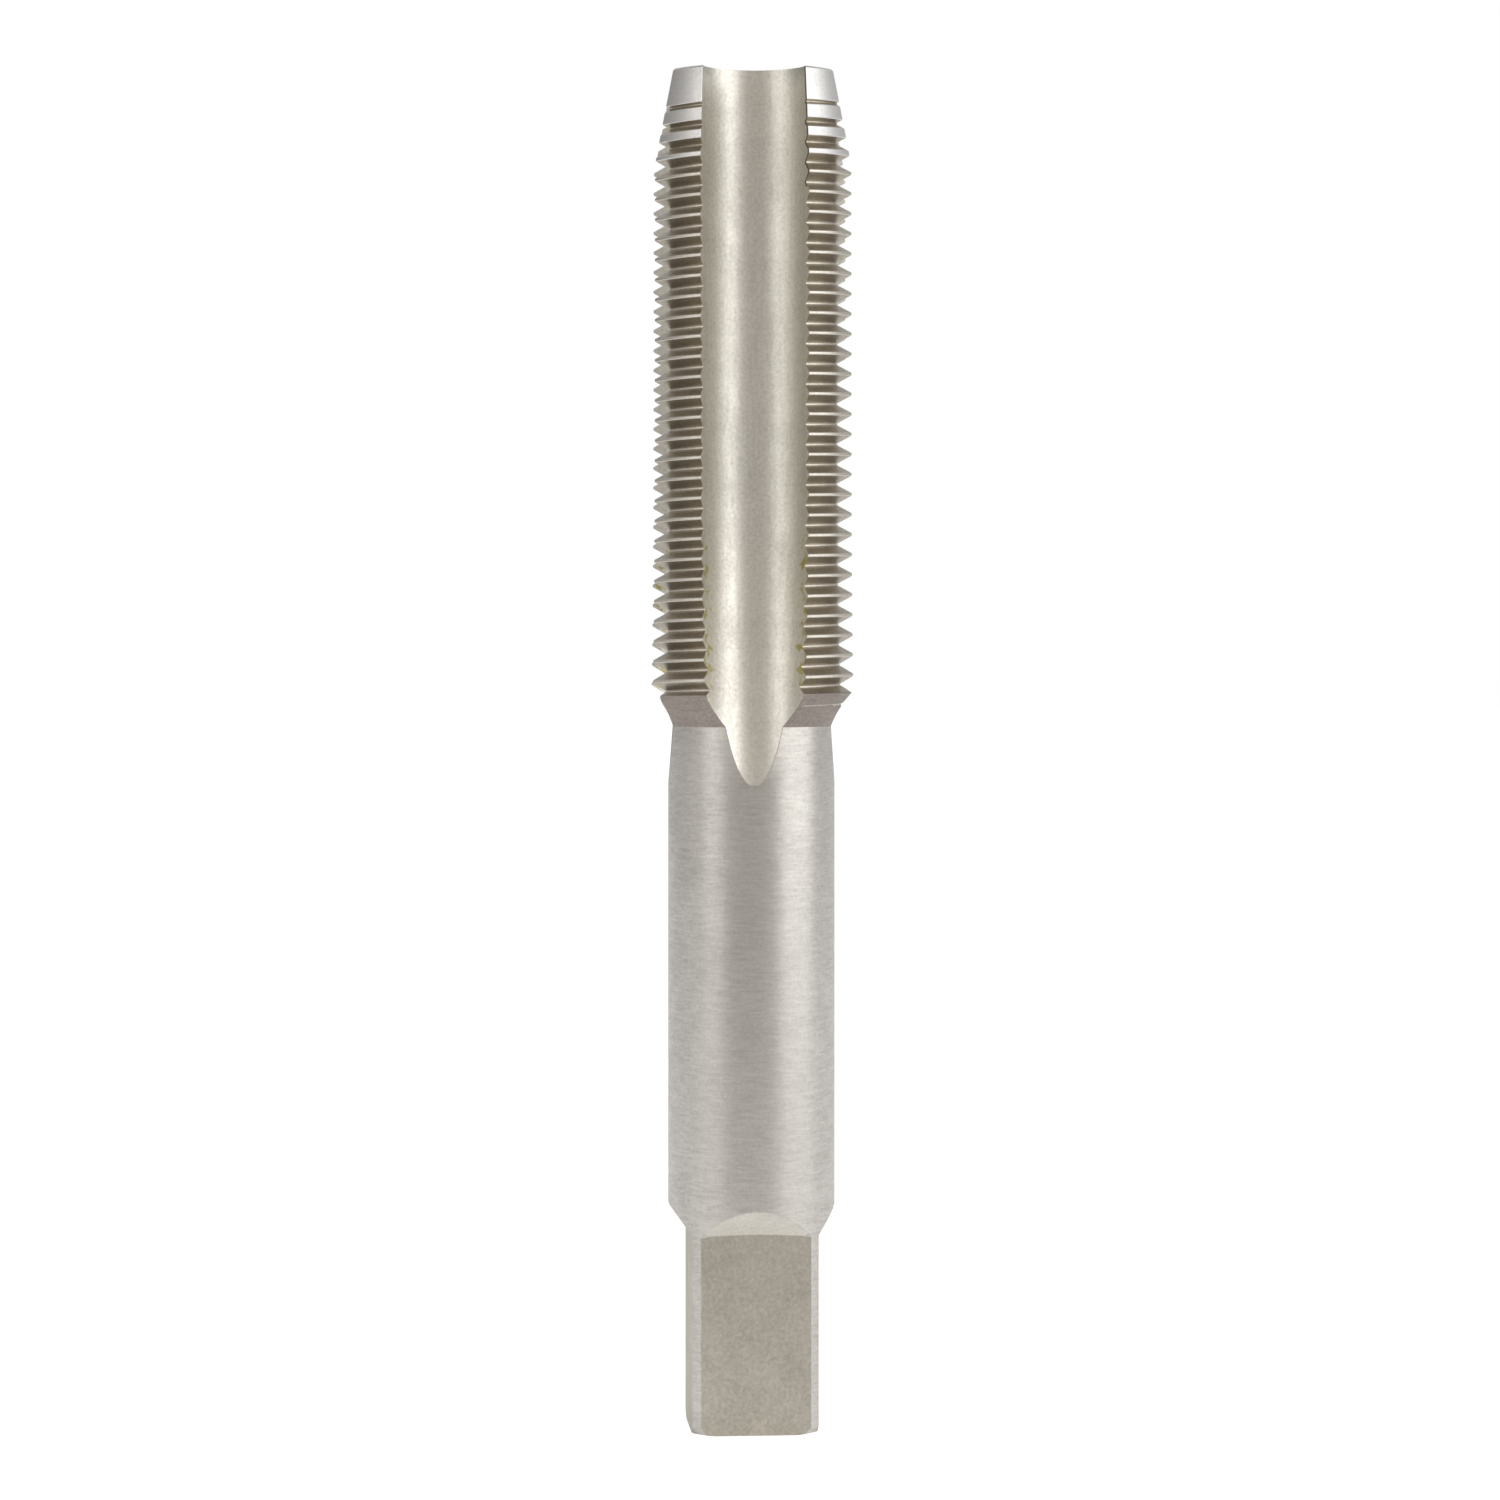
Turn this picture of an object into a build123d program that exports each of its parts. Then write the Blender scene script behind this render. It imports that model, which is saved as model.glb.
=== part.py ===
from build123d import *
import math
import os

# Hand tap M14 x 1.25, right-hand thread, four straight flutes, one solid piece of tool steel.
# Millimetres. +Z runs from the square drive end (z = 0) up to the cutting tip.
# The flats of the square face -X, +X, -Y and +Y.

# --- overall ---
overall_length = 85.1
shank_diameter = 10.5
thread_end = 46.3              # height where the neck cone meets the full thread diameter
neck_cone_length = 2.2

# --- thread ---
major_diameter = 14.0
pitch = 1.25
thread_angle = 60.0
root_diameter = 12.3
root_flat = 0.11
thread_phase = 0.554           # height of the groove centre above a whole pitch, at the +X side
lead_length = 6.0              # tapered entry, nearly five threads
tip_diameter = 11.83
tip_edge_chamfer = 0.1

# --- flutes ---
flute_count = 4
groove_span = 54.0             # of each groove about the axis, wider than a land, degrees
flute_turn = -2.5              # of the flutes about +Z against the flats of the square, degrees
flute_core_radius = 2.74       # axis to flute floor at flute_wheel_height
flute_floor_radius = 3.0       # concave floor of the flute
flute_floor_angle = 52.0       # of the floor arc to each side of the middle, degrees
flute_side_radius = 3.6        # flatter arc between the floor and each wall
flute_wall_angle = 18.5        # lean of each wall from the flute's middle plane, degrees
flute_core_taper = 0.75        # slope of the flute floor, deeper toward the tip, degrees
flute_wheel_radius = 90.0      # sweep of the grinding wheel in the run-out
flute_wheel_height = 60.35     # where the run-out starts

# --- square drive ---
square_across_flats = 7.9
square_length = 12.5
square_cutter_radius = 44.0    # arch of the upper edge of each flat
square_shoulder_angle = 40.0   # slope of the shoulder from the axis, degrees
square_end_chamfer = 0.5

# --- centre holes, one in each end ---
centre_pilot_diameter = 1.6
centre_mouth_diameter = 3.35
centre_angle = 60.0
centre_pilot_length = 1.6


def blank():
    """Turned blank: chamfered end, shank, hollow neck cone, thread diameter and lead."""
    shank_r = shank_diameter / 2
    crest_r = major_diameter / 2
    tip_r = tip_diameter / 2
    cone_low = thread_end - neck_cone_length
    mid_r = shank_r + 0.44 * (crest_r - shank_r)
    mid_z = cone_low + 0.53 * neck_cone_length
    with BuildPart() as body:
        with BuildSketch(Plane.XZ):
            with BuildLine():
                Polyline((0, 0), (shank_r - square_end_chamfer, 0), (shank_r, square_end_chamfer),
                         (shank_r, cone_low))
                ThreePointArc((shank_r, cone_low), (mid_r, mid_z), (crest_r, thread_end))
                Polyline((crest_r, thread_end), (crest_r, overall_length - lead_length),
                         (tip_r, overall_length), (0, overall_length), (0, 0))
            make_face()
        revolve(axis=Axis.Z)
        chamfer(body.edges().group_by(Axis.Z)[-1], length=tip_edge_chamfer)
    return body.part


def land_groove():
    """One thread groove across one land: a short helical sweep centred on the +X side at z = 0."""
    root_r = root_diameter / 2
    outer_r = major_diameter / 2 + 0.05
    depth = outer_r - root_r
    half_root = root_flat / 2
    half_top = half_root + depth * math.tan(math.radians(thread_angle / 2))
    rise = pitch * groove_span / 360
    path = Helix(pitch=pitch, height=rise, radius=root_r)
    section_plane = Plane(origin=path @ 0, x_dir=(1, 0, 0), z_dir=path % 0)
    with BuildSketch(section_plane) as section:
        with BuildLine():
            Polyline((0, -half_root), (depth, -half_top), (depth, half_top), (0, half_root), close=True)
        make_face()
    groove = sweep(section.sketch, path=path, is_frenet=True)
    return groove.moved(Location((0, 0, -rise / 2), (0, 0, -groove_span / 2)))


def flute_cutter():
    """Space swept by the grinding wheel for the flute on the -Y side: straight run and run-out."""
    floor_turn = math.radians(flute_floor_angle)
    wall_turn = math.radians(90 - flute_wall_angle)
    floor_v = flute_core_radius + flute_floor_radius
    side_u = (flute_floor_radius - flute_side_radius) * math.sin(floor_turn)
    side_v = floor_v - (flute_floor_radius - flute_side_radius) * math.cos(floor_turn)
    floor_end = (flute_floor_radius * math.sin(floor_turn),
                 flute_floor_radius * math.cos(floor_turn) - floor_v)
    side_turn = (floor_turn + wall_turn) / 2
    side_mid = (side_u + flute_side_radius * math.sin(side_turn),
                flute_side_radius * math.cos(side_turn) - side_v)
    side_end = (side_u + flute_side_radius * math.sin(wall_turn),
                flute_side_radius * math.cos(wall_turn) - side_v)
    outer_v = major_diameter / 2 + 1
    outer_u = side_end[0] + (outer_v + side_end[1]) * math.tan(math.radians(flute_wall_angle))
    profile_plane = Plane(origin=(0, 0, flute_wheel_height), x_dir=(1, 0, 0), z_dir=(0, 0, 1))
    with BuildSketch(profile_plane) as profile:
        with BuildLine():
            ThreePointArc(floor_end, side_mid, side_end)
            Polyline(side_end, (outer_u, -outer_v), (0, -outer_v))
            mirror(about=Plane.YZ)
            ThreePointArc((-floor_end[0], floor_end[1]), (0, -flute_core_radius), floor_end)
        make_face()
    section = profile.sketch.face()
    straight = extrude(section, amount=overall_length - flute_wheel_height + 2, dir=(0, 0, 1))
    wheel_axis = Axis((0, -flute_core_radius - flute_wheel_radius, flute_wheel_height), (-1, 0, 0))
    run_out = revolve(section, axis=wheel_axis, revolution_arc=20)
    pivot = Axis((0, -flute_core_radius, flute_wheel_height), (1, 0, 0))
    return (straight + run_out).rotate(pivot, -flute_core_taper)


def flat_cutter():
    """Disc cutter for the flat on the -Y side: flat face, 45-odd degree rim for the shoulder."""
    half = square_across_flats / 2
    reach = shank_diameter / 2 + 1
    rise = (reach - half) / math.tan(math.radians(square_shoulder_angle))
    disc = Cone(bottom_radius=square_cutter_radius, top_radius=square_cutter_radius + rise,
                height=reach - half, align=(Align.CENTER, Align.CENTER, Align.MIN))
    placed = Plane(origin=(0, -half, square_length - square_cutter_radius), z_dir=(0, -1, 0))
    return placed * disc


def centre_hole(z_end, direction):
    """Centre hole opening at z_end, pointing into the metal along direction (+1 up, -1 down)."""
    mouth_r = centre_mouth_diameter / 2
    pilot_r = centre_pilot_diameter / 2
    flare = math.tan(math.radians(centre_angle / 2))
    cone_depth = (mouth_r - pilot_r) / flare
    pilot_depth = cone_depth + centre_pilot_length
    out = 0.2
    with BuildPart() as hole:
        with BuildSketch(Plane.XZ):
            with BuildLine():
                Polyline((0, z_end - direction * out), (mouth_r + out * flare, z_end - direction * out),
                         (pilot_r, z_end + direction * cone_depth),
                         (pilot_r, z_end + direction * pilot_depth),
                         (0, z_end + direction * pilot_depth), close=True)
            make_face()
        revolve(axis=Axis.Z)
    return hole.part


tap = blank()
flute = flute_cutter()
for index in range(flute_count):
    tap = tap - flute.rotate(Axis.Z, flute_turn + index * 360 / flute_count)
flat = flat_cutter()
for index in range(4):
    tap = tap - flat.rotate(Axis.Z, index * 90)
tap = tap - centre_hole(0, 1)
tap = tap - centre_hole(overall_length, -1)

# The grooves follow one right-hand helix, so each land meets it a quarter pitch after the last.
groove = land_groove()
for index in range(flute_count):
    turn = flute_turn + (index + 0.5) * 360 / flute_count
    first = math.ceil((thread_end - 1.6 - thread_phase) / pitch - turn / 360)
    last = math.floor((overall_length - 1.8 - thread_phase) / pitch - turn / 360)
    cuts = []
    for row in range(first, last + 1):
        height = thread_phase + (row + turn / 360) * pitch
        cuts.append(groove.moved(Location((0, 0, height), (0, 0, turn))))
    tap = tap - cuts

os.makedirs("parts", exist_ok=True)
export_step(tap, "parts/tap.step")
print("tap", round(tap.volume, 1), "mm3", tap.is_valid, len(tap.faces()), "faces")
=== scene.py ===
import bpy
import math
import numpy as np
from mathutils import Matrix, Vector
from mathutils.geometry import tessellate_polygon


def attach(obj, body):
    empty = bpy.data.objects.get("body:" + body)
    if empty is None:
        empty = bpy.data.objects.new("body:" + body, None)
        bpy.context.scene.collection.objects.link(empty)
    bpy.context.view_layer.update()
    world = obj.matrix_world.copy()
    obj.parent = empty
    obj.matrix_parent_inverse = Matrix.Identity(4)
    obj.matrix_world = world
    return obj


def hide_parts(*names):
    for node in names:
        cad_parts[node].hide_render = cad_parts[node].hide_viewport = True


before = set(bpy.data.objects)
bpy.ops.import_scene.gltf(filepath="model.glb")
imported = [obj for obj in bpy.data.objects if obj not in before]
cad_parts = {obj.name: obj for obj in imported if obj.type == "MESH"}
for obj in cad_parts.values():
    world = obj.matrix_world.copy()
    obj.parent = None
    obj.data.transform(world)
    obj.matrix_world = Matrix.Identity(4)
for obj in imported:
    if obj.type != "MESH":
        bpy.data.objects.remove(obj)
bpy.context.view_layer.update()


# ---------------------------------------------------------------------------
# Fluted blank: one bar of high-speed steel. The shank is turned and ground, four flutes are ground
# lengthwise by a wheel that leaves the metal in a long curved run-out, and four flats are milled for
# the wrench. It is laid out as one closed skin of columns and rings, its lands still smooth.

# Lengths are in millimetres here, and become metres where the mesh is made.
crest_radius = 7.0
root_radius = 6.15
shank_radius = 5.25
tool_length = 85.1
tip_radius = 5.915
tip_chamfer = 0.1
lead_length = 6.0
lead_foot = tool_length - lead_length
neck_foot = 44.1
neck_hollow = 0.24             # sag of the neck cone's outline, as a share of its width
thread_end = 46.3              # lower end of the full thread diameter
edge_break = 0.022             # half the width of the narrow facet left on every ground edge

pitch = 1.25
groove_height = 0.554          # of a groove's middle above a whole pitch, on the +X side
groove_flat = 0.055            # half of the flat at a groove's bottom
flank_slope = math.tan(math.radians(30))

flute_turn = -92.5             # direction of the first flute, degrees
flat_lag = 2.5                 # from a flute's middle to the middle of the flat below it, degrees
floor_radius = 3.4
floor_angle = math.radians(60)
side_radius = 1.5
wall_angle = math.radians(10)
core_radius = 2.74
core_slope = math.radians(0.75)
wheel_radius = 90.0
wheel_height = 60.35           # where the wheel starts to leave the metal
run_out_z, run_out_fade = 40.2, 6.0

flat_distance = 3.95
flat_top = 12.5
cutter_radius = 44.0
shoulder_slope = math.tan(math.radians(40))
end_chamfer = 0.5
square_end = 14.5              # above the last shoulder's arch

painted_shade_length = 7.5              # of the dark line of painted shade down the front flute's right edge at the tip
oil_low, oil_high = 46.6, 56.0  # cutting oil dried on the teeth at the flutes' edges
oil_share = 0.8                # of the flute's half width, where the oil starts


def outline_radius(z):
    """Radius of the turned outline at each height, before flutes, flats and thread."""
    cone = crest_radius + (tip_radius - crest_radius) * (z - lead_foot) / lead_length
    cone = np.minimum(crest_radius, cone)
    cone = np.minimum(cone, tip_radius - tip_chamfer + (tool_length - z))
    share = np.clip((z - neck_foot) / (thread_end - neck_foot), 0, 1)
    chord = shank_radius + (crest_radius - shank_radius) * share
    hollow = neck_hollow * share * (1 - share) * (crest_radius - shank_radius)
    return np.minimum(cone, chord - hollow)


def flute_point(length, z):
    """Half-width and depth of the flute's surface at a length along its profile from the middle."""
    floor_end = floor_radius * floor_angle
    side_turn = math.pi / 2 - wall_angle
    side_end = floor_end + side_radius * (side_turn - floor_angle)
    centre_depth = core_radius + floor_radius
    on_floor = np.minimum(length, floor_end) / floor_radius
    on_side = floor_angle + (np.clip(length, floor_end, side_end) - floor_end) / side_radius
    side_u = (floor_radius - side_radius) * math.sin(floor_angle)
    side_depth = centre_depth - (floor_radius - side_radius) * math.cos(floor_angle)
    past = np.maximum(length - side_end, 0)
    is_floor = length <= floor_end
    u = np.where(is_floor, floor_radius * np.sin(on_floor),
                 side_u + side_radius * np.sin(on_side) + past * math.sin(wall_angle))
    straight = np.where(is_floor, centre_depth - floor_radius * np.cos(on_floor),
                        side_depth - side_radius * np.cos(on_side) + past * math.cos(wall_angle))
    # below the straight run each point of the profile is on a circle round the wheel's axle
    axle_depth = core_radius + wheel_radius * math.cos(core_slope)
    axle_z = wheel_height + wheel_radius * math.sin(core_slope)
    reach = core_radius + wheel_radius - straight
    leave_z = axle_z - reach * math.sin(core_slope)
    low = np.minimum(z, leave_z)
    depth = axle_depth - np.sqrt(np.maximum(reach ** 2 - (low - axle_z) ** 2, 0))
    depth = depth - np.maximum(z - leave_z, 0) * math.tan(core_slope)
    return u, depth


def last_inside(is_inside, low, high):
    """The largest value from low to high that a rule still holds for, found by halving."""
    for _ in range(34):
        middle = (low + high) / 2
        inside = is_inside(middle)
        low = np.where(inside, middle, low)
        high = np.where(inside, high, middle)
    return low


def flute_edge(z, radius):
    """Length along the profile at which the flute's wall comes out at a radius; 0 where it doesn't."""
    return last_inside(lambda length: np.hypot(*flute_point(length, z)) < radius,
                       np.zeros_like(z), np.full_like(z, 9.0))


def flat_radius(angle, z):
    """Distance from the axis to the flat and its shoulder, along a direction off the flat's middle."""
    def is_inside(distance):
        disc = np.hypot(distance * np.sin(angle), z - flat_top + cutter_radius)
        wall = flat_distance + np.maximum(disc - cutter_radius, 0) * shoulder_slope
        return distance * np.cos(angle) < wall
    return last_inside(is_inside, np.full_like(angle, 3.0), np.full_like(angle, 9.0))


def blend(a, b, share):
    """A smooth step from a to b."""
    share = np.clip(share, 0, 1)
    return a + (b - a) * share * share * (3 - 2 * share)


# Columns: each quarter turn has a flute (or, lower down, a flat of the square) and then a land.
flute_share = np.linspace(-1, 1, 27)
land_share = np.linspace(0, 1, 12)
flute_half_turn, land_turn = 28.5, 33.0
quarter = len(flute_share) + len(land_share)
column_count = 4 * quarter
column_quarter = np.repeat(np.arange(4), quarter)
column_flute = np.tile(np.concatenate([flute_share, np.zeros(len(land_share))]), 4)
column_land = np.tile(np.concatenate([np.zeros(len(flute_share)), land_share]), 4)
column_is_land = np.tile(np.repeat([False, True], [len(flute_share), len(land_share)]), 4)
column_turn = flute_turn + 90.0 * column_quarter + np.where(
    column_is_land, flute_half_turn + land_turn * column_land, flute_half_turn * column_flute)


def skin(z, radius, square_share):
    """Places (x, y) of the skin for heights and radii given as (rings, columns)."""
    quarter_turn = np.radians(flute_turn + flat_lag * square_share + 90.0 * column_quarter[None, :])
    edge = flute_edge(z, radius)
    u, depth = flute_point(edge, z)
    opening = np.arctan2(u, depth)
    # where no flute is cut its columns still take some width, and more as they become the flats
    closing = blend(2.0, 20.0, (run_out_z - z) / run_out_fade)
    least = np.radians(blend(closing, 41.205, square_share))
    cut = opening > least
    half = np.where(cut, opening, least)
    trim = edge_break / radius
    # flute columns
    side = np.sign(column_flute)[None, :]
    along = np.abs(column_flute)[None, :] * (edge - edge_break)
    u, depth = flute_point(along, z)
    angle_cut = np.arctan2(u, depth) * side
    radius_cut = np.hypot(u, depth)
    angle_plain = column_flute[None, :] * (half - trim)
    u, depth = flute_point(radius * np.abs(np.sin(angle_plain)), z)
    radius_plain = np.minimum(radius, np.hypot(u, depth))
    angle = np.where(cut, angle_cut, angle_plain)
    place_radius = np.where(cut, radius_cut, radius_plain)
    # land columns
    land_angle = half + trim + column_land[None, :] * (math.pi / 2 - 2 * half - 2 * trim)
    angle = np.where(column_is_land[None, :], land_angle, angle)
    place_radius = np.where(column_is_land[None, :], radius, place_radius)
    turn = quarter_turn + angle
    return place_radius * np.cos(turn), place_radius * np.sin(turn)


# Square end, ring by ring from the end face up: the rings follow the chamfer, the foot of each
# shoulder and the arch where the shoulder leaves the round shank.
corner = math.acos(flat_distance / shank_radius)
corner_trim = edge_break / shank_radius
corner_width = math.pi / 2 - 2 * corner - 2 * corner_trim
flat_angle = np.where(column_is_land, corner + corner_trim + column_land * corner_width,
                      column_flute * (corner - corner_trim))
flat_turn = np.radians(flute_turn + flat_lag + 90.0 * column_quarter) + flat_angle
bare_radius = np.where(column_is_land, shank_radius, flat_distance / np.cos(flat_angle))
chamfer_z = np.maximum(bare_radius - (shank_radius - end_chamfer), 0)
near = np.where(column_is_land, corner, np.abs(flat_angle))
cutter_z = flat_top - cutter_radius
foot_z = cutter_z + np.sqrt(cutter_radius ** 2 - (flat_distance * np.tan(near)) ** 2)
arch_disc = cutter_radius + (shank_radius * np.cos(near) - flat_distance) / shoulder_slope
arch_z = cutter_z + np.sqrt(arch_disc ** 2 - (shank_radius * np.sin(near)) ** 2)

square_rings = [np.zeros(column_count), np.maximum(chamfer_z - edge_break, 0.5 * edge_break)]
for share in (0, 0.12, 0.3, 0.5, 0.7, 0.88, 1):
    square_rings.append(blend(chamfer_z + edge_break, foot_z - edge_break, share))
shoulder_ring = len(square_rings)
for share in (0, 0.3, 0.6):
    square_rings.append(foot_z + edge_break + (arch_z - foot_z) * share)
square_rings.append(np.maximum(arch_z - edge_break, foot_z + 1.2 * edge_break))
square_rings.append(arch_z + edge_break * 1.4)
square_z = np.array(square_rings)
square_r = flat_radius(np.tile(flat_angle, (len(square_z), 1)), square_z)
square_r = np.minimum(square_r, shank_radius)
square_r = np.where(column_is_land[None, :], shank_radius, square_r)
square_r = np.minimum(square_r, shank_radius - end_chamfer + square_z)
square_r[0] -= edge_break

# Plain rings of the shank and the lower neck, close together along the flutes' run-out, then the
# rings of the tip. The columns turn from the flats to the flutes between heights 15 and 35.
shank_z = np.concatenate([[15.0, 16.0, 17.5], np.arange(19.0, 39.1, 1.25),
                          np.arange(39.5, 43.9, 0.14), [neck_foot - edge_break, neck_foot + edge_break],
                          np.arange(44.25, 44.7, 0.14), [44.8]])
tip_z = np.array([84.4, 84.7, 84.95, tool_length - tip_chamfer - edge_break,
                  tool_length - tip_chamfer + edge_break, tool_length - 0.3 * edge_break, tool_length])
helix_low = shank_z[-1]
helix_high = tip_z[0]


def plain_rings(heights):
    """Heights, radii and places (x, y) of level rings."""
    z = np.tile(heights[:, None], (1, column_count))
    radius = outline_radius(z)
    square_share = np.tile(1 - np.clip((heights[:, None] - 15) / 20, 0, 1), (1, column_count))
    return z, radius, skin(z, radius, square_share)


def groove_rows():
    """Heights of the threaded length's rows, which climb with the helix and close up to the edges
    of every groove."""
    rows = []
    first = math.floor((helix_low - pitch - groove_height) / pitch) - 1
    last = math.ceil((helix_high - groove_height) / pitch) + 1
    least_half = groove_flat + 3 * edge_break
    for number in range(first, last + 1):
        middle = groove_height + (number + column_turn / 360) * pitch
        half = groove_flat + (outline_radius(middle) - root_radius) * flank_slope
        half = np.maximum(half, 0)
        up = groove_flat + (outline_radius(middle + half) - root_radius) * flank_slope
        down = groove_flat + (outline_radius(middle - half) - root_radius) * flank_slope
        up = np.maximum(up, least_half)
        down = np.maximum(down, least_half)
        rows += [middle - down - edge_break, middle - down + edge_break,
                 middle - (down + groove_flat) / 2,
                 middle - groove_flat - edge_break, middle - groove_flat + edge_break,
                 middle + groove_flat - edge_break, middle + groove_flat + edge_break,
                 middle + (up + groove_flat) / 2,
                 middle + up - edge_break, middle + up + edge_break,
                 middle + pitch / 2]
    return np.array(rows)


# Of the 11 rows to a groove, the faces above these are its flanks and its bottom. A groove shallower
# than the least depth gets no finish of its own.
rows_per_pitch = 11
flank_rows = (1, 2, 6, 7)
bottom_rows = (3, 4, 5)
least_depth_neck, least_depth = 0.01, 0.045
helix_z = groove_rows()
inside_z = np.clip(helix_z, helix_low, helix_high)
helix_r = outline_radius(inside_z)
no_square = np.zeros_like(inside_z)
helix_x, helix_y = skin(inside_z, helix_r, no_square)
root_x, root_y = skin(inside_z, np.minimum(helix_r, root_radius), no_square)

# Each point has its place, the place it would have at the groove's root, the outline's radius where
# the thread is cut, its oil, and whether a flute or flat has opened it.
places = []
root_places = []
outlines = []
oily = []
opened = []


def add_point(place, root_place, outline, oil, is_open):
    places.append(place)
    root_places.append(root_place)
    outlines.append(outline)
    oily.append(oil)
    opened.append(is_open)
    return len(places) - 1


def add_ring(x, y, z, cut):
    ring = []
    for c in range(column_count):
        place = (x[c], y[c], z[c])
        ring.append(add_point(place, place, 0.0, 0.0, bool(cut[c])))
    return ring


rings = []
for k in range(len(square_z)):
    rings.append(add_ring(square_r[k] * np.cos(flat_turn), square_r[k] * np.sin(flat_turn),
                          square_z[k], square_r[k] < shank_radius - 0.001))
shank_rows, shank_r, (shank_x, shank_y) = plain_rings(shank_z)
for k in range(len(shank_z)):
    cut = np.hypot(shank_x[k], shank_y[k]) < shank_r[k] - 0.001
    rings.append(add_ring(shank_x[k], shank_y[k], shank_rows[k], cut))
low_ring = rings[-1]
tip_rows, _, (tip_x, tip_y) = plain_rings(tip_z)
tip_rings = [add_ring(tip_x[k], tip_y[k], tip_rows[k], ~column_is_land) for k in range(len(tip_z))]
high_ring = tip_rings[0]

# Rows of the helix that pass the lowest or the highest ring end on it.
same_height = 0.004
helix_index = np.zeros(helix_z.shape, int)
for j in range(len(helix_z)):
    for c in range(column_count):
        z = helix_z[j, c]
        if z <= helix_low + same_height:
            helix_index[j, c] = low_ring[c]
        elif z >= helix_high - same_height:
            helix_index[j, c] = high_ring[c]
        else:
            oil = float(oil_low < z < oil_high and abs(column_flute[c]) > oil_share)
            helix_index[j, c] = add_point((helix_x[j, c], helix_y[j, c], z),
                                          (root_x[j, c], root_y[j, c], z),
                                          helix_r[j, c], oil, not column_is_land[c])

faces = []
finishes = []
SHANK, FLAT, SHOULDER, NECK, FLUTE, THREAD_OXIDE_AND_SHADE, CREST, LEAD, PAINTED_SHADE = range(9)


def add_face(corners, c, flat=FLAT, flank=False, bottom=False):
    """One face of the skin, right of column c. Its finish goes by its height and by what cut it."""
    face = []
    for corner_index in corners:
        if corner_index not in face:
            face.append(corner_index)
    if len(face) < 3:
        return
    faces.append(face)
    z = sum(places[i][2] for i in face) / len(face)
    after = (c + 1) % column_count
    in_flute = (not column_is_land[c] and not column_is_land[after]
                and all(opened[i] for i in face))
    if z < square_end:
        finishes.append(flat if in_flute else SHANK)
    elif in_flute:
        # painted shade: the last face column at the right edge of the first flute near the tip takes a
        # near-black finish, where its steep wall is in shade
        in_painted_shade = c < quarter and column_flute[after] == 1 and z > tool_length - painted_shade_length
        finishes.append(PAINTED_SHADE if in_painted_shade else FLUTE)
    elif z < neck_foot:
        finishes.append(SHANK)
    # groove flanks, and the lead's groove bottoms, take the darker thread colour: partly oxide, partly
    # painted shade in the grooves
    elif flank or (bottom and z > lead_foot):
        finishes.append(THREAD_OXIDE_AND_SHADE)
    elif z < thread_end and not bottom:
        finishes.append(NECK)
    elif z < lead_foot:
        finishes.append(CREST)
    else:
        finishes.append(LEAD)


for stack in (rings, tip_rings):
    for number, (lower, upper) in enumerate(zip(stack, stack[1:])):
        flat = FLAT if number < shoulder_ring else SHOULDER
        for c in range(column_count):
            after = (c + 1) % column_count
            add_face((lower[c], lower[after], upper[after], upper[c]), c, flat=flat)
for j in range(len(helix_z) - rows_per_pitch - 1):
    step = j % rows_per_pitch
    for c in range(column_count):
        if c + 1 < column_count:
            right = (helix_index[j, c + 1], helix_index[j + 1, c + 1])
        else:
            next_turn = j + rows_per_pitch
            right = (helix_index[next_turn, 0], helix_index[next_turn + 1, 0])
        least = least_depth_neck if helix_z[j, c] < thread_end else least_depth
        cut = helix_r[j, c] > root_radius + least
        add_face((helix_index[j, c], right[0], right[1], helix_index[j + 1, c]), c,
                 flank=cut and step in flank_rows, bottom=cut and step in bottom_rows)


# Centre holes: a 60 degree mouth and a short pilot drilled in both ends, on which the blank turned
# between centres while it was ground. Each end face is filled between the outline and its mouth.
hole_mouth = 1.675
hole_pilot = 0.8
hole_cone = (hole_mouth - hole_pilot) / math.tan(math.radians(30))
hole_depth = hole_cone + 1.6
hole_sides = 48
hole_rings = ((hole_mouth + edge_break, 0), (hole_mouth - edge_break, edge_break * 1.7),
              (hole_pilot, hole_cone), (hole_pilot, hole_depth))
for end_ring, end_z, inward in ((rings[0], 0.0, 1), (tip_rings[-1], tool_length, -1)):
    loops = []
    for radius, depth in hole_rings:
        loop = []
        for k in range(hole_sides):
            turn = 2 * math.pi * k / hole_sides
            place = (radius * math.cos(turn), radius * math.sin(turn), end_z + inward * depth)
            loop.append(add_point(place, place, 0.0, 0.0, False))
        loops.append(loop)
    place = (0, 0, end_z + inward * hole_depth)
    centre = add_point(place, place, 0.0, 0.0, False)
    for outer, inner in zip(loops, loops[1:]):
        for k in range(hole_sides):
            after = (k + 1) % hole_sides
            face = [outer[k], outer[after], inner[after], inner[k]]
            faces.append(face if inward < 0 else face[::-1])
    for k in range(hole_sides):
        face = [loops[-1][k], loops[-1][(k + 1) % hole_sides], centre]
        faces.append(face if inward < 0 else face[::-1])
    rim_index = end_ring + loops[0]
    rim_points = [[Vector(places[i]) for i in end_ring], [Vector(places[i]) for i in loops[0]]]
    for corners in tessellate_polygon(rim_points):
        face = [rim_index[i] for i in corners]
        p, q, r = (Vector(places[i]) for i in face)
        up = (q - p).cross(r - p).z
        faces.append(face if (up > 0) == (inward < 0) else face[::-1])
    finishes += [FLAT if inward > 0 else LEAD] * (len(faces) - len(finishes))

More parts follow.
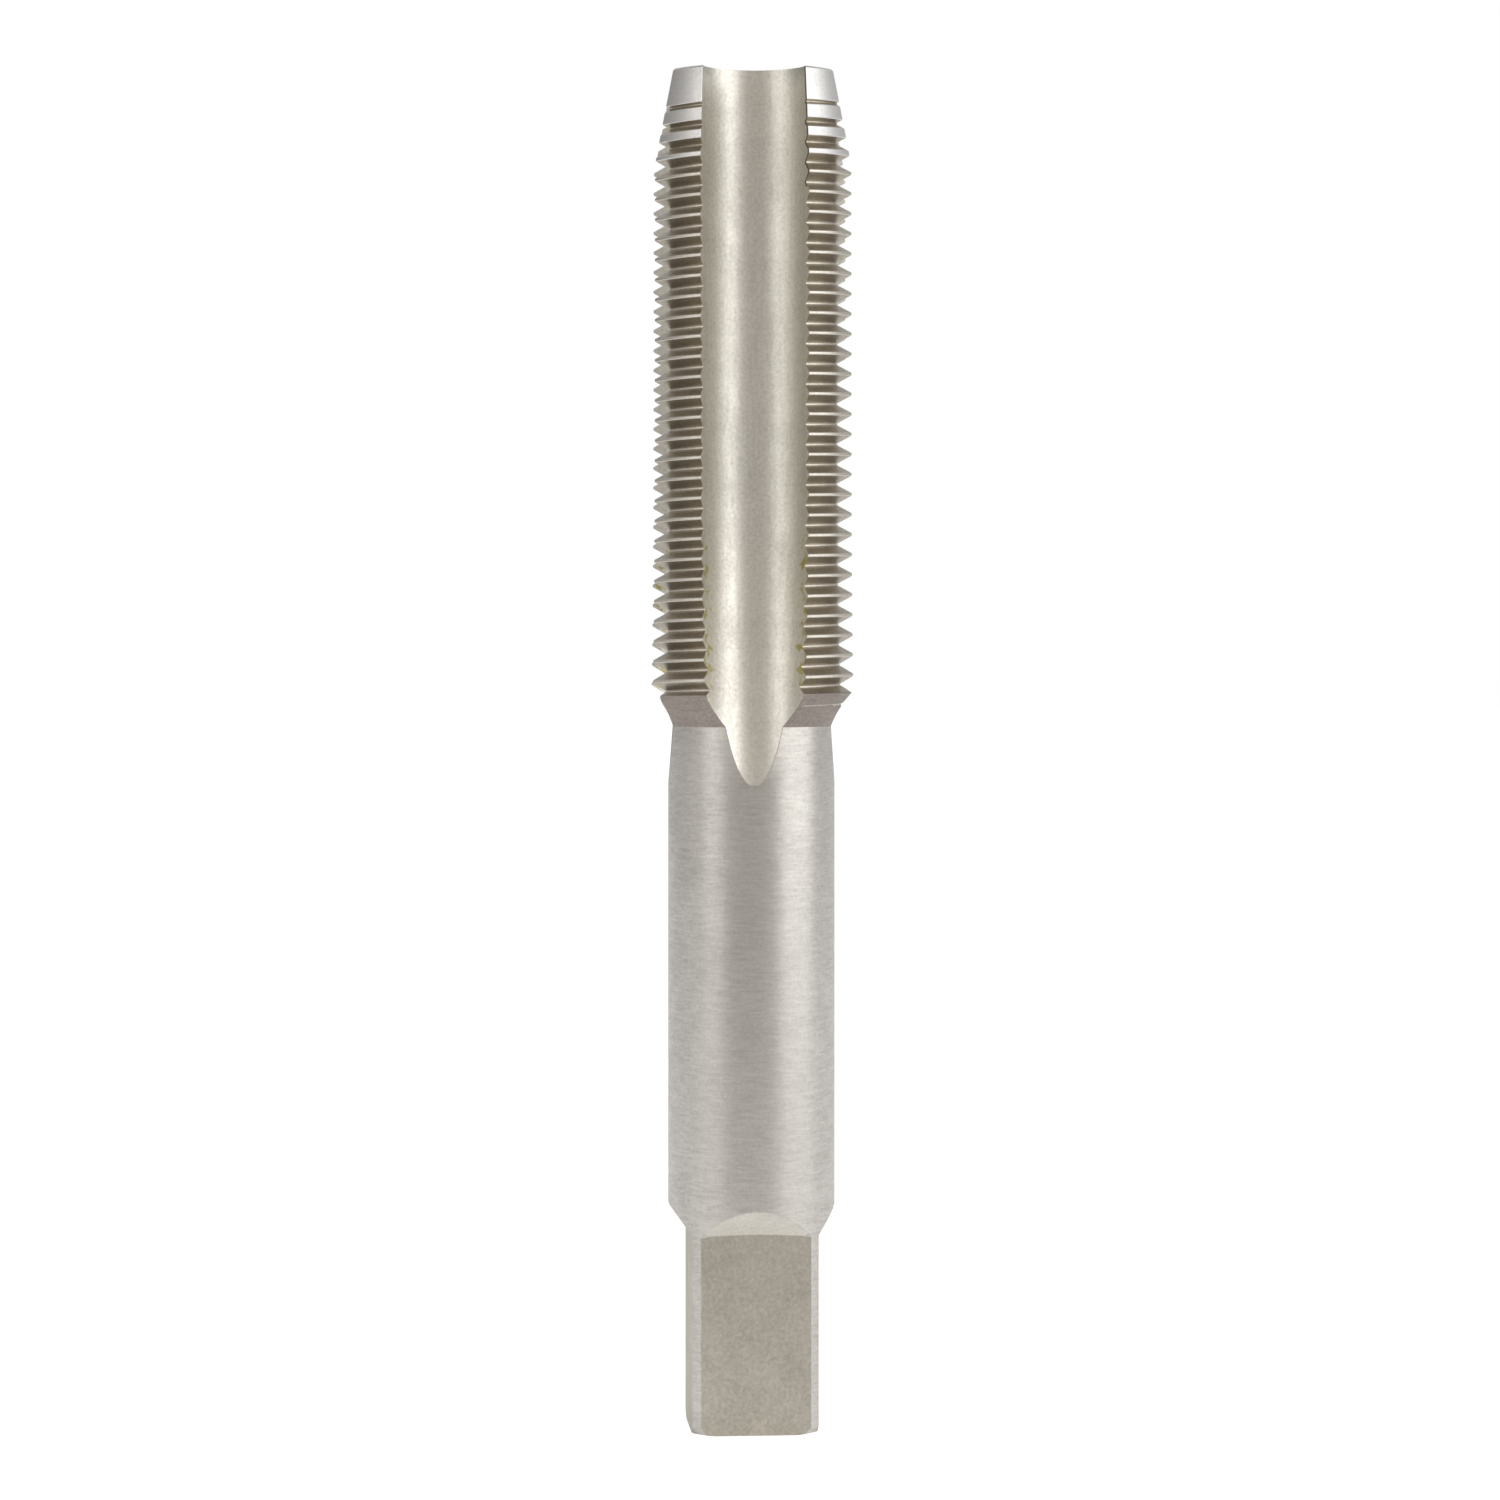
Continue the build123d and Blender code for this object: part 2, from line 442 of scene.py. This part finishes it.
blank = bpy.data.meshes.new("tap_body")
blank.from_pydata([(x / 1000, y / 1000, z / 1000) for x, y, z in places], [], faces)
blank.polygons.foreach_set("material_index", finishes)
point_values = blank.attributes
point_values.new("outline", "FLOAT", "POINT").data.foreach_set("value", np.array(outlines) / 1000)
point_values.new("root_place", "FLOAT_VECTOR", "POINT").data.foreach_set(
    "vector", (np.array(root_places) / 1000).ravel())
point_values.new("oil", "FLOAT", "POINT").data.foreach_set("value", oily)
blank.update()
tap = bpy.data.objects.new("tap_body", blank)
bpy.context.scene.collection.objects.link(tap)


# ---------------------------------------------------------------------------
# Finishes: all of the one bar of bare steel, ground, milled or turned. Each has the fine lines that its
# tool left, is a little uneven in tone and gloss, and shows dried oil where the skin carries it. The
# thread's flanks are darker partly from painted shade, and a strip at the front flute's tip is painted
# shade.

def noise(tree, vector, scale, detail):
    """Noise pattern at a place, as a node."""
    node = tree.nodes.new("ShaderNodeTexNoise")
    node.inputs["Scale"].default_value = scale
    node.inputs["Detail"].default_value = detail
    tree.links.new(vector, node.inputs["Vector"])
    return node


def mixed(tree, a, b, share):
    """Mix of two patterns, as a node."""
    node = tree.nodes.new("ShaderNodeMix")
    node.inputs["Factor"].default_value = share
    tree.links.new(a, node.inputs["A"])
    tree.links.new(b, node.inputs["B"])
    return node


def steel(name, colour, dark, roughness, line_scale, line_depth, blotch=0.5, speckle=0.45):
    """Bare steel: colour broken by tool lines, blotches and grain, which also vary its gloss."""
    material = bpy.data.materials.new(name)
    material.use_nodes = True
    tree = material.node_tree
    shader = tree.nodes["Principled BSDF"]
    shader.inputs["Metallic"].default_value = 1.0
    where = tree.nodes.new("ShaderNodeTexCoord")
    stretch = tree.nodes.new("ShaderNodeMapping")
    stretch.inputs["Scale"].default_value = line_scale
    tree.links.new(where.outputs["Object"], stretch.inputs["Vector"])
    lines = noise(tree, stretch.outputs["Vector"], 1.0, 6.0)
    lines.inputs["Roughness"].default_value = 0.65
    patches = noise(tree, where.outputs["Object"], 420.0, 5.0)
    grain = noise(tree, where.outputs["Object"], 5200.0, 2.0)
    marks = mixed(tree, lines.outputs["Fac"], patches.outputs["Fac"], blotch)
    pattern = mixed(tree, marks.outputs["Result"], grain.outputs["Fac"], speckle)
    tone = tree.nodes.new("ShaderNodeValToRGB")
    tone.color_ramp.elements[0].position = 0.3
    tone.color_ramp.elements[0].color = (*dark, 1)
    tone.color_ramp.elements[1].position = 0.62
    tone.color_ramp.elements[1].color = (*colour, 1)
    tree.links.new(pattern.outputs["Result"], tone.inputs["Fac"])
    # dried oil: small yellow specks where the mesh attribute "oil" is above nought
    oil = tree.nodes.new("ShaderNodeAttribute")
    oil.attribute_name = "oil"
    drops = noise(tree, where.outputs["Object"], 1500.0, 1.0)
    spots = tree.nodes.new("ShaderNodeMapRange")
    spots.inputs["From Min"].default_value = 0.52
    spots.inputs["From Max"].default_value = 0.62
    tree.links.new(drops.outputs["Fac"], spots.inputs["Value"])
    stained = tree.nodes.new("ShaderNodeMath")
    stained.operation = "MULTIPLY"
    tree.links.new(oil.outputs["Fac"], stained.inputs[0])
    tree.links.new(spots.outputs["Result"], stained.inputs[1])
    stain = tree.nodes.new("ShaderNodeMix")
    stain.data_type = "RGBA"
    tree.links.new(stained.outputs[0], stain.inputs["Factor"])
    tree.links.new(tone.outputs["Color"], stain.inputs[6])
    stain.inputs[7].default_value = (0.56, 0.50, 0.20, 1)
    tree.links.new(stain.outputs[2], shader.inputs["Base Color"])
    gloss = tree.nodes.new("ShaderNodeMapRange")
    gloss.inputs["From Min"].default_value = 0.3
    gloss.inputs["From Max"].default_value = 0.7
    gloss.inputs["To Min"].default_value = roughness + 0.06
    gloss.inputs["To Max"].default_value = roughness - 0.06
    tree.links.new(pattern.outputs["Result"], gloss.inputs["Value"])
    tree.links.new(gloss.outputs["Result"], shader.inputs["Roughness"])
    bump = tree.nodes.new("ShaderNodeBump")
    bump.inputs["Strength"].default_value = 0.6
    bump.inputs["Distance"].default_value = line_depth
    tree.links.new(lines.outputs["Fac"], bump.inputs["Height"])
    tree.links.new(bump.outputs["Normal"], shader.inputs["Normal"])
    return material


# In the order of the finish numbers. Lines run round what was turned or ground between centres and
# along what the flute's wheel ground; milled faces have an even grain.
finish_steel = [
    steel("ground_shank", (0.73, 0.71, 0.68), (0.49, 0.475, 0.45), 0.34,
          (900, 900, 6000), 0.000005, blotch=0.25, speckle=0.28),
    steel("milled_flats", (0.60, 0.568, 0.50), (0.41, 0.385, 0.333), 0.42,
          (3500, 3500, 3500), 0.000008),
    steel("milled_shoulder", (0.90, 0.88, 0.83), (0.70, 0.68, 0.635), 0.42,
          (5000, 5000, 5000), 0.00001),
    steel("turned_neck", (0.40, 0.355, 0.325), (0.25, 0.22, 0.20), 0.42,
          (400, 400, 6000), 0.000006),
    steel("ground_flute", (0.84, 0.825, 0.768), (0.60, 0.585, 0.53), 0.41,
          (4000, 4000, 260), 0.000006),
    # the flanks' darker colour is partly oxide on the cut thread and partly painted shade in the
    # grooves between the teeth
    steel("cut_thread", (0.50, 0.455, 0.385), (0.34, 0.305, 0.25), 0.34,
          (400, 400, 9000), 0.000005),
    steel("rubbed_crest", (0.71, 0.68, 0.62), (0.57, 0.54, 0.48), 0.38,
          (400, 400, 6000), 0.000005),
    steel("ground_lead", (0.83, 0.83, 0.825), (0.68, 0.68, 0.675), 0.42,
          (400, 400, 6000), 0.000005),
    # painted shade: near-black steel for the strip at the front flute's right edge near the tip
    steel("painted_shade_heel", (0.17, 0.14, 0.12), (0.10, 0.085, 0.075), 0.5,
          (4000, 4000, 260), 0.000006),
]


# ---------------------------------------------------------------------------
# Thread: one right-hand helical groove, 60 degrees between its flanks, ground through all four lands
# after fluting. It starts shallow in the lead at the tip and fades out in the neck cone.

class Field:
    """A value in a node tree, so that a rule reads as plain arithmetic."""

    def __init__(self, tree, socket):
        self.tree = tree
        self.socket = socket

    def join(self, operation, *others):
        node = self.tree.nodes.new("ShaderNodeMath")
        node.operation = operation
        for number, item in enumerate((self, *others)):
            if isinstance(item, Field):
                self.tree.links.new(item.socket, node.inputs[number])
            else:
                node.inputs[number].default_value = item
        return Field(self.tree, node.outputs[0])

    def __add__(self, other):
        return self.join("ADD", other)

    def __sub__(self, other):
        return self.join("SUBTRACT", other)

    def __mul__(self, other):
        return self.join("MULTIPLY", other)

    def __truediv__(self, other):
        return self.join("DIVIDE", other)


thread_tree = bpy.data.node_groups.new("cut_thread", "GeometryNodeTree")
panel = thread_tree.interface
panel.new_socket("Geometry", in_out="INPUT", socket_type="NodeSocketGeometry")
thread_sizes = {"Pitch": pitch / 1000, "Groove height": groove_height / 1000,
                "Groove half flat": groove_flat / 1000, "Root radius": root_radius / 1000,
                "Flank slope": flank_slope}
for label in thread_sizes:
    panel.new_socket(label, in_out="INPUT", socket_type="NodeSocketFloat")
panel.new_socket("Geometry", in_out="OUTPUT", socket_type="NodeSocketGeometry")
nodes = thread_tree.nodes
links = thread_tree.links
entry = nodes.new("NodeGroupInput")
size = {label: Field(thread_tree, entry.outputs[label]) for label in thread_sizes}
position = nodes.new("GeometryNodeInputPosition")
split = nodes.new("ShaderNodeSeparateXYZ")
links.new(position.outputs[0], split.inputs[0])
place_x, place_y, place_z = (Field(thread_tree, split.outputs[k]) for k in range(3))
outline_attribute = nodes.new("GeometryNodeInputNamedAttribute")
outline_attribute.data_type = "FLOAT"
outline_attribute.inputs["Name"].default_value = "outline"
outline = Field(thread_tree, outline_attribute.outputs["Attribute"])
root_attribute = nodes.new("GeometryNodeInputNamedAttribute")
root_attribute.data_type = "FLOAT_VECTOR"
root_attribute.inputs["Name"].default_value = "root_place"
# height above the nearest turn of the helix, and from it the radius that the groove leaves
turns = place_y.join("ARCTAN2", place_x) / (2 * math.pi)
height = (place_z - size["Groove height"]) / size["Pitch"] - turns
off_middle = (height - height.join("ROUND")).join("ABSOLUTE") * size["Pitch"]
off_flat = (off_middle - size["Groove half flat"]).join("MAXIMUM", 0.0)
cut_radius = size["Root radius"] + off_flat / size["Flank slope"]
kept_radius = outline.join("MINIMUM", cut_radius)
full_depth = (outline - size["Root radius"]).join("MAXIMUM", 0.000001)
cut_share = (outline - kept_radius) / full_depth
# a cut point goes that share of the way to its place at the root, which keeps it in the flute's wall
mix = nodes.new("ShaderNodeMix")
mix.data_type = "VECTOR"
links.new(cut_share.socket, mix.inputs[0])
links.new(position.outputs[0], mix.inputs[4])
links.new(root_attribute.outputs["Attribute"], mix.inputs[5])
cut = nodes.new("GeometryNodeSetPosition")
links.new(entry.outputs["Geometry"], cut.inputs["Geometry"])
links.new(mix.outputs[1], cut.inputs["Position"])
realize = nodes.new("GeometryNodeRealizeInstances")
links.new(cut.outputs[0], realize.inputs[0])
finish_number = nodes.new("GeometryNodeInputMaterialIndex")
last = realize.outputs[0]
for number, material in enumerate(finish_steel):
    same = nodes.new("FunctionNodeCompare")
    same.data_type = "INT"
    same.operation = "EQUAL"
    links.new(finish_number.outputs[0], same.inputs[2])
    same.inputs[3].default_value = number
    dress = nodes.new("GeometryNodeSetMaterial")
    dress.inputs["Material"].default_value = material
    links.new(last, dress.inputs["Geometry"])
    links.new(same.outputs[0], dress.inputs["Selection"])
    last = dress.outputs[0]
leave = nodes.new("NodeGroupOutput")
links.new(last, leave.inputs[0])

for material in finish_steel:
    blank.materials.append(material)
cutter = tap.modifiers.new("cut_thread", "NODES")
cutter.node_group = thread_tree
for item in panel.items_tree:
    if item.item_type == "SOCKET" and item.name in thread_sizes:
        cutter[item.identifier] = thread_sizes[item.name]
bpy.context.view_layer.update()
threaded = tap.evaluated_get(bpy.context.evaluated_depsgraph_get())
finished = bpy.data.meshes.new_from_object(threaded)
tap.modifiers.clear()
tap.data = finished
finished.name = "tap_body"
finished.polygons.foreach_set("use_smooth", [True] * len(finished.polygons))
finished.set_sharp_from_angle(angle=math.radians(14))
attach(tap, "root")
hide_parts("tap")


# ---------------------------------------------------------------------------
# Studio: a pale floor and a backdrop that is white to the camera, a grey room for the metal to
# mirror, a broad soft box on each side, and a level camera 5 cm up, 27 cm away.

view_turn = math.radians(4.5)  # of the camera about the tap, off -Y
to_camera = Vector((-math.sin(view_turn), -math.cos(view_turn), 0))

floor_mesh = bpy.data.meshes.new("floor")
floor_mesh.from_pydata([(-3, -3, 0), (3, -3, 0), (3, 3, 0), (-3, 3, 0)], [], [(0, 1, 2, 3)])
floor = bpy.data.objects.new("floor", floor_mesh)
bpy.context.scene.collection.objects.link(floor)
floor_paint = bpy.data.materials.new("pale_floor")
floor_paint.use_nodes = True
tree = floor_paint.node_tree
paint = tree.nodes["Principled BSDF"]
paint.inputs["Base Color"].default_value = (0.8, 0.8, 0.8, 1)
paint.inputs["Roughness"].default_value = 0.9
paint.inputs["Specular IOR Level"].default_value = 0.0
# the floor glows for the camera, and less so in the metal's reflections, fading toward the front
glow = tree.nodes.new("ShaderNodeEmission")
glow.inputs["Color"].default_value = (1, 1, 1, 1)
glow.inputs["Strength"].default_value = 0.75
path = tree.nodes.new("ShaderNodeLightPath")
seen = tree.nodes.new("ShaderNodeMath")
seen.operation = "MAXIMUM"
seen.use_clamp = True
mirrored = tree.nodes.new("ShaderNodeMath")
mirrored.operation = "MULTIPLY"
floor_place = tree.nodes.new("ShaderNodeTexCoord")
floor_split = tree.nodes.new("ShaderNodeSeparateXYZ")
fade = tree.nodes.new("ShaderNodeMapRange")
fade.interpolation_type = "SMOOTHSTEP"
fade.inputs["From Min"].default_value = -0.16
fade.inputs["From Max"].default_value = -0.02
fade.inputs["To Max"].default_value = 0.52
tree.links.new(floor_place.outputs["Object"], floor_split.inputs[0])
tree.links.new(floor_split.outputs["Y"], fade.inputs["Value"])
tree.links.new(path.outputs["Is Glossy Ray"], mirrored.inputs[0])
tree.links.new(fade.outputs["Result"], mirrored.inputs[1])
tree.links.new(path.outputs["Is Camera Ray"], seen.inputs[0])
tree.links.new(mirrored.outputs[0], seen.inputs[1])
nothing = tree.nodes.new("ShaderNodeEmission")
nothing.inputs["Strength"].default_value = 0.0
pick = tree.nodes.new("ShaderNodeMixShader")
tree.links.new(seen.outputs[0], pick.inputs["Fac"])
tree.links.new(nothing.outputs[0], pick.inputs[1])
tree.links.new(glow.outputs[0], pick.inputs[2])
total = tree.nodes.new("ShaderNodeAddShader")
tree.links.new(paint.outputs[0], total.inputs[0])
tree.links.new(pick.outputs[0], total.inputs[1])
tree.links.new(total.outputs[0], tree.nodes["Material Output"].inputs["Surface"])
floor_mesh.materials.append(floor_paint)

# The room is warm grey behind the camera, dark at the sides, light grey behind the tap, and lighter
# overhead.
world = bpy.data.worlds.new("studio")
bpy.context.scene.world = world
world.use_nodes = True
tree = world.node_tree
tree.nodes.clear()
direction = tree.nodes.new("ShaderNodeTexCoord")
behind_turn = view_turn + 0.2
behind = tree.nodes.new("ShaderNodeVectorMath")
behind.operation = "DOT_PRODUCT"
behind.inputs[1].default_value = (math.sin(behind_turn), math.cos(behind_turn), 0)
tree.links.new(direction.outputs["Generated"], behind.inputs[0])
level = tree.nodes.new("ShaderNodeValToRGB")
level.color_ramp.interpolation = "EASE"
level.color_ramp.elements[0].position = 0.2
level.color_ramp.elements[0].color = (0.392, 0.355, 0.32, 1)
level.color_ramp.elements[1].position = 1.0
level.color_ramp.elements[1].color = (0.50, 0.50, 0.49, 1)
side_level = level.color_ramp.elements.new(0.6)
side_level.color = (0.17, 0.168, 0.162, 1)
half = tree.nodes.new("ShaderNodeMath")
half.operation = "MULTIPLY_ADD"
half.inputs[1].default_value = 0.5
half.inputs[2].default_value = 0.5
tree.links.new(behind.outputs["Value"], half.inputs[0])
tree.links.new(half.outputs[0], level.inputs["Fac"])
upward = tree.nodes.new("ShaderNodeSeparateXYZ")
tree.links.new(direction.outputs["Generated"], upward.inputs[0])
overhead = tree.nodes.new("ShaderNodeMapRange")
overhead.interpolation_type = "SMOOTHSTEP"
overhead.inputs["From Min"].default_value = 0.2
overhead.inputs["From Max"].default_value = 0.6
overhead.inputs["To Max"].default_value = 0.2
tree.links.new(upward.outputs["Z"], overhead.inputs["Value"])
lit = tree.nodes.new("ShaderNodeMix")
lit.data_type = "RGBA"
lit.blend_type = "ADD"
lit.inputs["Factor"].default_value = 1.0
tree.links.new(level.outputs["Color"], lit.inputs[6])
tree.links.new(overhead.outputs["Result"], lit.inputs[7])
room = tree.nodes.new("ShaderNodeBackground")
tree.links.new(lit.outputs[2], room.inputs["Color"])
white = tree.nodes.new("ShaderNodeBackground")
white.inputs["Color"].default_value = (1, 1, 1, 1)
path = tree.nodes.new("ShaderNodeLightPath")
choose = tree.nodes.new("ShaderNodeMixShader")
tree.links.new(path.outputs["Is Camera Ray"], choose.inputs["Fac"])
tree.links.new(room.outputs[0], choose.inputs[1])
tree.links.new(white.outputs[0], choose.inputs[2])
out = tree.nodes.new("ShaderNodeOutputWorld")
tree.links.new(choose.outputs[0], out.inputs["Surface"])

lamp_distance, lamp_height, lamp_tall = 0.5, 0.21, 0.4
lamp_aim = Vector((0, 0, 0.045))
for name, turn, width, power in (("softbox_left", -54, 0.30, 0.38),
                                 ("softbox_right", 65, 0.52, 1.08)):
    lamp = bpy.data.lights.new(name, "AREA")
    lamp.shape = "RECTANGLE"
    lamp.size = width
    lamp.size_y = lamp_tall
    lamp.energy = power
    lamp.color = (1.0, 0.99, 0.975)
    softbox = bpy.data.objects.new(name, lamp)
    around = math.radians(-94.5 + turn)
    softbox.location = (lamp_distance * math.cos(around), lamp_distance * math.sin(around),
                        lamp_height)
    softbox.rotation_euler = (lamp_aim - softbox.location).to_track_quat("-Z", "Y").to_euler()
    bpy.context.scene.collection.objects.link(softbox)

camera_distance, camera_height = 0.2713, 0.04918
lens = bpy.data.cameras.new("camera")
lens.sensor_width = 36
lens.lens = 103.2
lens.shift_x = -0.0009
lens.shift_y = -0.07
camera = bpy.data.objects.new("camera", lens)
camera.location = to_camera * camera_distance + Vector((0, 0, camera_height))
camera.rotation_euler = (math.pi / 2, 0, -view_turn)
bpy.context.scene.collection.objects.link(camera)
bpy.context.scene.camera = camera
bpy.context.scene.view_settings.view_transform = "Standard"
